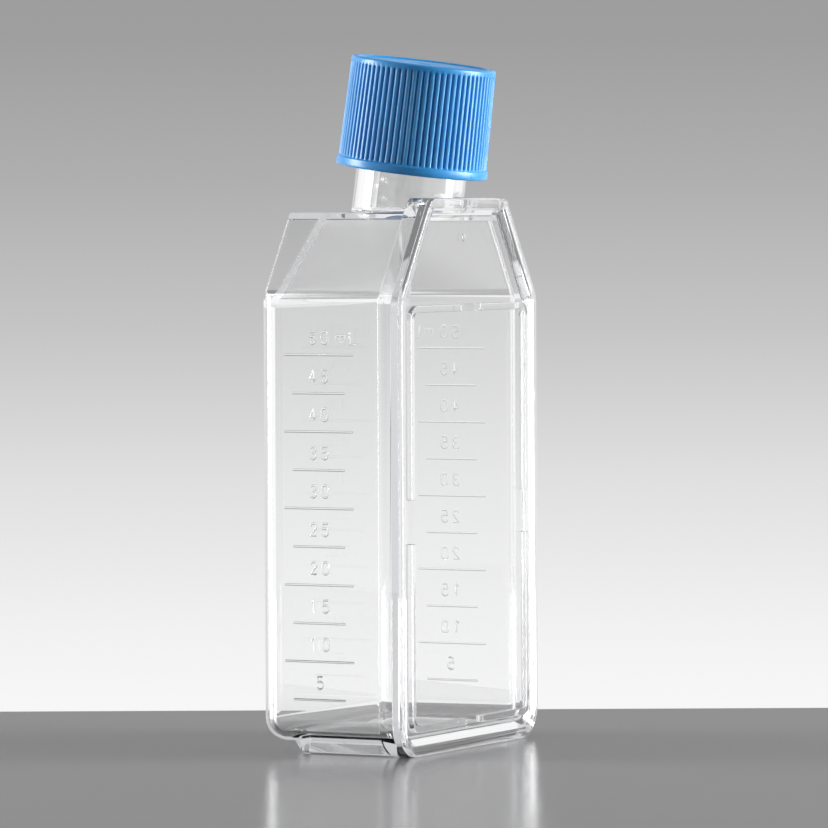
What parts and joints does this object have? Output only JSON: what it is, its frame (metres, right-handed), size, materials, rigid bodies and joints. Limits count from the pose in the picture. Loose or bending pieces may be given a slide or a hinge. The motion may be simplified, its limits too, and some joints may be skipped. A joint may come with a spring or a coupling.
{
  "type": "cell culture flask",
  "caption": "Clear rectangular cell culture flask with shoulders, a neck leaning towards the cover plate and a ribbed blue screw cap with a plug seal.",
  "frame": {"origin": "middle of the closed end that the flask stands on: half way across the weld flange, half way between the stacking ridge and the growth surface", "axes": "+X across the flask, +Y from the cover plate to the growth surface, +Z from the closed end towards the cap"},
  "size_m": [0.045, 0.0287, 0.1053],
  "materials": {
    "clear_tray": "polished clear moulded polystyrene, colourless, with raised graduations",
    "clear_plate": "polished clear moulded polystyrene, colourless",
    "soft_seal": "soft natural polyethylene, satin",
    "blue_cap": "satin moulded polyethylene, mid blue, fine vertical ribs"
  },
  "bodies": {
    "flask": {"flask_tray": "clear_tray", "cover_plate": "clear_plate"},
    "seal": {"seal_insert": "soft_seal"},
    "cap": {"screw_cap": "blue_cap"}
  },
  "joints": [
    {"name": "seal_lift", "type": "slide", "parent": "flask", "child": "seal", "axis": [0, -0.134, 0.991], "range_m": [0, 0.0045]},
    {"name": "cap_turn", "type": "hinge", "parent": "seal", "child": "cap", "pos_m": [0, -0.00195, 0.0812], "axis": [0, -0.134, 0.991], "range_deg": [0, 540]}
  ],
  "couplings": [
    {"joint": "seal_lift", "follows": "cap_turn", "m_per_rad": 0.00047746}
  ]
}
